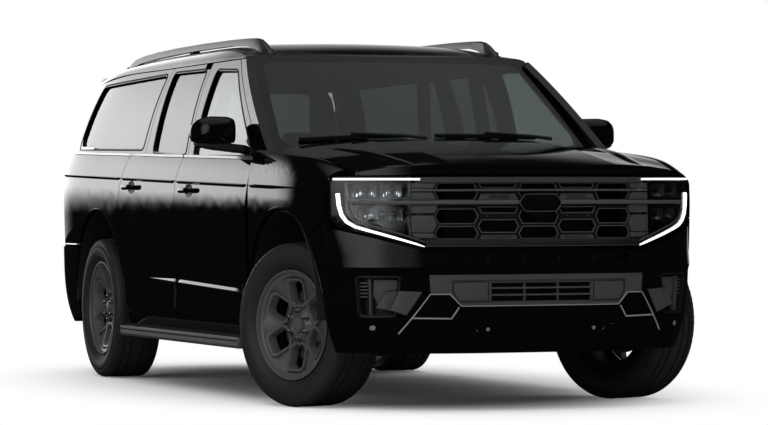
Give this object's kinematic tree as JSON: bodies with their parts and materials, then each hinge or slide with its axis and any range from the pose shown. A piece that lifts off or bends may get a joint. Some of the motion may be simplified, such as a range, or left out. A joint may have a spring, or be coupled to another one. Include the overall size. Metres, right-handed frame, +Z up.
{
  "type": "long-wheelbase full-size suv",
  "caption": "Long-wheelbase full-size SUV with opening doors, hood and tailgate, steered front wheels, roof rails and running boards",
  "frame": {"origin": "on the ground under the middle of the vehicle", "axes": "+Z up, the front faces -Y, the vehicle's left is +X"},
  "size_m": [2.372, 5.6369, 1.9385],
  "materials": {
    "black_paint": "gloss clear coat",
    "glass": "tinted",
    "lamp_lens": "clear",
    "red_lens": "moulded",
    "black_plastic": "grained",
    "grille_plastic": "satin",
    "grey_plastic": "satin",
    "frame_steel": "satin",
    "cast_metal": "as cast",
    "exhaust_steel": "dull",
    "rim_alloy": "satin grey",
    "tyre": "rubber",
    "seat_cloth": "woven"
  },
  "bodies": {
    "body": {"body_sides": "black_paint", "front_wings": "black_paint", "rear_bumper": "black_paint", "roof_panel": "black_paint", "windscreen": "glass", "body_frame": "frame_steel", "windscreen_frame": "black_paint", "cowl_and_firewall": "black_plastic", "front_bumper": "black_paint", "lower_grille": "grey_plastic", "grille": "grille_plastic", "headlamps": "lamp_lens", "tail_lamps": "red_lens", "quarter_glass": "glass", "chassis_frame": "frame_steel", "floor_pan": "frame_steel", "engine_block": "cast_metal", "gearbox": "cast_metal", "radiator": "frame_steel", "wheel_liners": "black_plastic", "running_boards": "grey_plastic", "roof_rails": "black_plastic", "front_suspension": "frame_steel", "rear_suspension": "frame_steel", "dashboard": "black_plastic", "seats": "seat_cloth", "exhaust": "exhaust_steel", "fuel_tank": "frame_steel", "spare_wheel": "tyre", "hitch_receiver": "frame_steel"},
    "hood": {"hood": "black_paint"},
    "tailgate": {"tailgate": "black_paint", "tailgate_glass": "glass"},
    "front_door_left": {"front_door_left": "black_paint", "front_door_glass_left": "glass", "mirror_left": "black_paint"},
    "rear_door_left": {"rear_door_left": "black_paint", "rear_door_glass_left": "glass"},
    "knuckle_left": {"knuckle_left": "cast_metal"},
    "front_door_right": {"front_door_right": "black_paint", "front_door_glass_right": "glass", "mirror_right": "black_paint"},
    "rear_door_right": {"rear_door_right": "black_paint", "rear_door_glass_right": "glass"},
    "knuckle_right": {"knuckle_right": "cast_metal"},
    "wheel_front_left": {"rim_front_left": "rim_alloy", "tyre_front_left": "tyre"},
    "wheel_front_right": {"rim_front_right": "rim_alloy", "tyre_front_right": "tyre"},
    "wheel_rear_left": {"rim_rear_left": "rim_alloy", "tyre_rear_left": "tyre"},
    "wheel_rear_right": {"rim_rear_right": "rim_alloy", "tyre_rear_right": "tyre"}
  },
  "joints": [
    {"name": "hood_hinge", "type": "hinge", "parent": "body", "child": "hood", "pos_m": [0, -1.455, 1.262], "axis": [-1, 0, 0], "range_deg": [0, 50]},
    {"name": "tailgate_hinge", "type": "hinge", "parent": "body", "child": "tailgate", "pos_m": [0, 2.335, 1.782], "axis": [1, 0, 0], "range_deg": [0, 85]},
    {"name": "front_door_left_hinge", "type": "hinge", "parent": "body", "child": "front_door_left", "pos_m": [0.9945, -1.246, 0.7], "axis": [0, 0, -1], "range_deg": [0, 68]},
    {"name": "rear_door_left_hinge", "type": "hinge", "parent": "body", "child": "rear_door_left", "pos_m": [0.9945, -0.05, 0.7], "axis": [0, 0, -1], "range_deg": [0, 68]},
    {"name": "steer_left", "type": "hinge", "parent": "body", "child": "knuckle_left", "pos_m": [0.794, -1.85, 0.405], "axis": [0, 0, 1], "range_deg": [-52.5, 11.5]},
    {"name": "front_door_right_hinge", "type": "hinge", "parent": "body", "child": "front_door_right", "pos_m": [-0.9945, -1.246, 0.7], "axis": [0, 0, 1], "range_deg": [0, 68]},
    {"name": "rear_door_right_hinge", "type": "hinge", "parent": "body", "child": "rear_door_right", "pos_m": [-0.9945, -0.05, 0.7], "axis": [0, 0, 1], "range_deg": [0, 68]},
    {"name": "steer_right", "type": "hinge", "parent": "body", "child": "knuckle_right", "pos_m": [-0.794, -1.85, 0.405], "axis": [0, 0, 1], "range_deg": [-52.5, 11.5]},
    {"name": "wheel_front_left_spin", "type": "hinge", "parent": "knuckle_left", "child": "wheel_front_left", "pos_m": [0.85582, -1.82689, 0.405], "axis": [0.9367, 0.3502, 0], "continuous": true},
    {"name": "wheel_rear_left_spin", "type": "hinge", "parent": "body", "child": "wheel_rear_left", "pos_m": [0.86, 1.493, 0.405], "axis": [1, 0, 0], "continuous": true},
    {"name": "wheel_front_right_spin", "type": "hinge", "parent": "knuckle_right", "child": "wheel_front_right", "pos_m": [-0.85582, -1.87311, 0.405], "axis": [0.9367, 0.3502, 0], "continuous": true},
    {"name": "wheel_rear_right_spin", "type": "hinge", "parent": "body", "child": "wheel_rear_right", "pos_m": [-0.86, 1.493, 0.405], "axis": [1, 0, 0], "continuous": true}
  ],
  "couplings": [
    {"joint": "steer_right", "follows": "steer_left", "ratio": 1}
  ]
}
